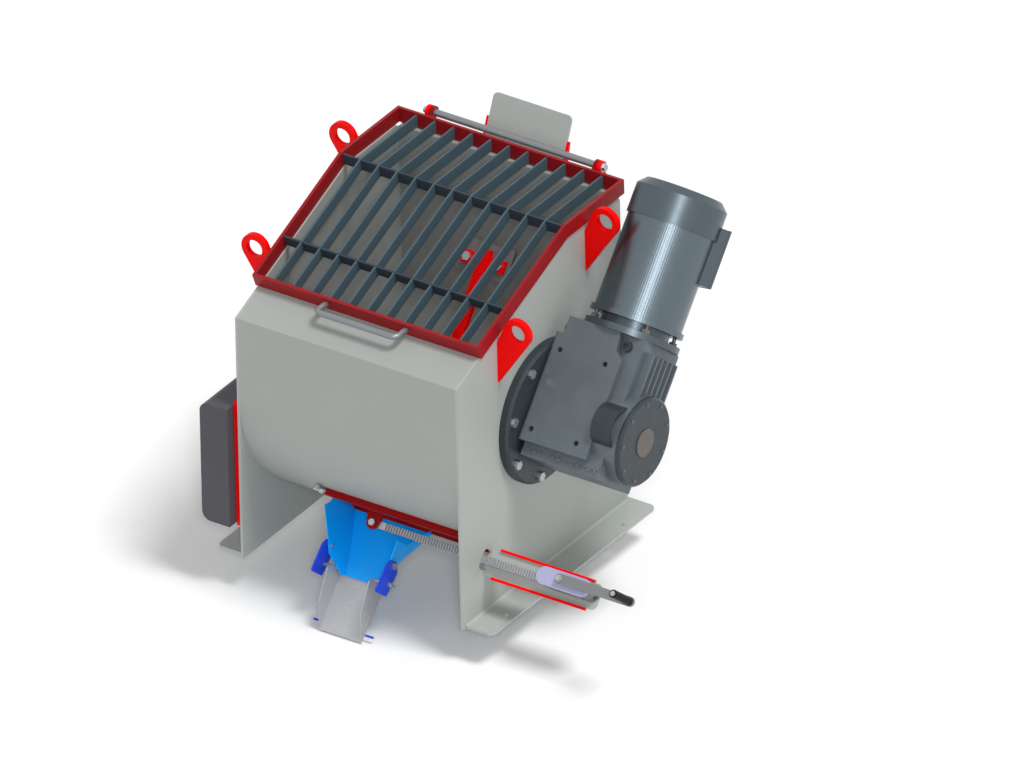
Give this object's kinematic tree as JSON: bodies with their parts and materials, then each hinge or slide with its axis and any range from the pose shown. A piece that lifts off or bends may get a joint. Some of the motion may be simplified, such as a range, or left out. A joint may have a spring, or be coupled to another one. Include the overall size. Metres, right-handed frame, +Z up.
{
  "type": "trough mixer",
  "caption": "Horizontal trough mixer with geared motor, paddle shaft, hinged grille, hand-cranked slide gate and discharge chute.",
  "frame": {"origin": "centre of the foot bolt pattern, on the plane on which the two feet stand, under the mixing shaft and midway between the end plates", "axes": "+X along the mixing shaft towards the gear unit, +Y to the back, where the grille is hinged, +Z up"},
  "size_m": [1.465, 1.0795, 1.2997],
  "materials": {
    "wall_grey": "satin",
    "plate_grey": "satin",
    "grille_red": "satin",
    "bar_grey": "satin",
    "tube_grey": "satin",
    "bright_red": "gloss",
    "gear_blue": "gloss",
    "motor_blue": "gloss",
    "sheet_blue": "gloss",
    "cap_brown": "satin",
    "cover_lavender": "satin",
    "drive_grey": "satin",
    "chute_blue": "satin",
    "bracket_blue": "satin",
    "bare_steel": "satin",
    "bolt_steel": "bright",
    "dark_steel": "worn",
    "box_grey": "satin",
    "grip_black": "gloss",
    "black_plastic": "matte",
    "seal_rubber": "matte"
  },
  "bodies": {
    "frame": {"right_end_plate": "plate_grey", "left_end_plate": "plate_grey", "trough_shell": "wall_grey", "lifting_eyes": "bright_red", "rear_brackets": "bright_red", "hinge_bolts": "bolt_steel", "rest_plate": "plate_grey", "gearbox_flange": "gear_blue", "flange_bolts": "bolt_steel", "gearbox_housing": "gear_blue", "intermediate_cover": "gear_blue", "output_cover": "gear_blue", "shaft_cap": "cap_brown", "oil_plugs": "bolt_steel", "motor_adapter": "gear_blue", "adapter_bolts": "bolt_steel", "motor_barrel": "motor_blue", "motor_end_shield": "motor_blue", "fan_cowl": "sheet_blue", "terminal_box": "motor_blue", "terminal_box_lid": "motor_blue", "bearing_housing": "drive_grey", "bearing": "dark_steel", "bearing_bolts": "bolt_steel", "shaft_seals": "seal_rubber", "control_box": "box_grey", "control_box_lid": "box_grey", "box_carrier": "bright_red", "gate_rails": "bright_red", "rack_tray": "plate_grey", "tray_strips": "bright_red", "drive_housing": "drive_grey", "drive_cover": "cover_lavender", "discharge_chute": "chute_blue", "chute_brackets": "bracket_blue", "bracket_bolts": "bolt_steel", "wing_nut": "bolt_steel"},
    "mixer": {"mixing_shaft": "dark_steel", "paddle_arms": "bright_red", "paddle_blades": "dark_steel", "paddle_bolts": "bolt_steel"},
    "motor_rotor": {"motor_shaft": "dark_steel", "motor_fan": "black_plastic"},
    "grille": {"grille_frame": "grille_red", "grille_bars": "bar_grey", "grille_cross_bars": "bar_grey", "grille_handle": "tube_grey", "hinge_tube": "tube_grey", "grille_lugs": "bright_red"},
    "gate": {"gate_plate": "bare_steel", "gate_ear": "bright_red", "ear_bolt": "bolt_steel", "gate_rack": "bare_steel"},
    "pinion": {"rack_pinion": "dark_steel"},
    "crank": {"crank_shaft": "dark_steel", "crank_arm": "plate_grey", "crank_fasteners": "bolt_steel"},
    "grip": {"crank_grip": "grip_black"},
    "extension": {"extension_chute": "bare_steel", "extension_pins": "bolt_steel"}
  },
  "joints": [
    {"name": "mixer_spin", "type": "hinge", "parent": "frame", "child": "mixer", "pos_m": [0, 0, 0.541], "axis": [1, 0, 0], "continuous": true},
    {"name": "motor_spin", "type": "hinge", "parent": "frame", "child": "motor_rotor", "pos_m": [0.598, 0, 0.541], "axis": [0, 0.6428, 0.766], "continuous": true},
    {"name": "grille_hinge", "type": "hinge", "parent": "frame", "child": "grille", "pos_m": [0, 0.473, 1.1043], "axis": [1, 0, 0], "range_deg": [-142, 0]},
    {"name": "gate_slide", "type": "slide", "parent": "frame", "child": "gate", "axis": [1, 0, 0], "range_m": [0, 0.24]},
    {"name": "pinion_turn", "type": "hinge", "parent": "frame", "child": "pinion", "pos_m": [0.687, -0.32588, 0.19308], "axis": [0, 0.6428, 0.766], "range_deg": [-764, 0]},
    {"name": "crank_turn", "type": "hinge", "parent": "frame", "child": "crank", "pos_m": [0.687, -0.34639, 0.22464], "axis": [0, -0.766, 0.6428], "range_deg": [-764, 0]},
    {"name": "grip_spin", "type": "hinge", "parent": "crank", "child": "grip", "pos_m": [0.937, -0.3755, 0.24907], "axis": [0, -0.766, 0.6428], "continuous": true},
    {"name": "extension_hinge", "type": "hinge", "parent": "frame", "child": "extension", "pos_m": [0, -0.414, 0.058], "axis": [1, 0, 0], "range_deg": [-60, 0]}
  ],
  "couplings": [
    {"joint": "motor_spin", "follows": "mixer_spin", "ratio": 40},
    {"joint": "pinion_turn", "follows": "gate_slide", "rad_per_m": -55.556},
    {"joint": "crank_turn", "follows": "gate_slide", "rad_per_m": -55.556}
  ]
}
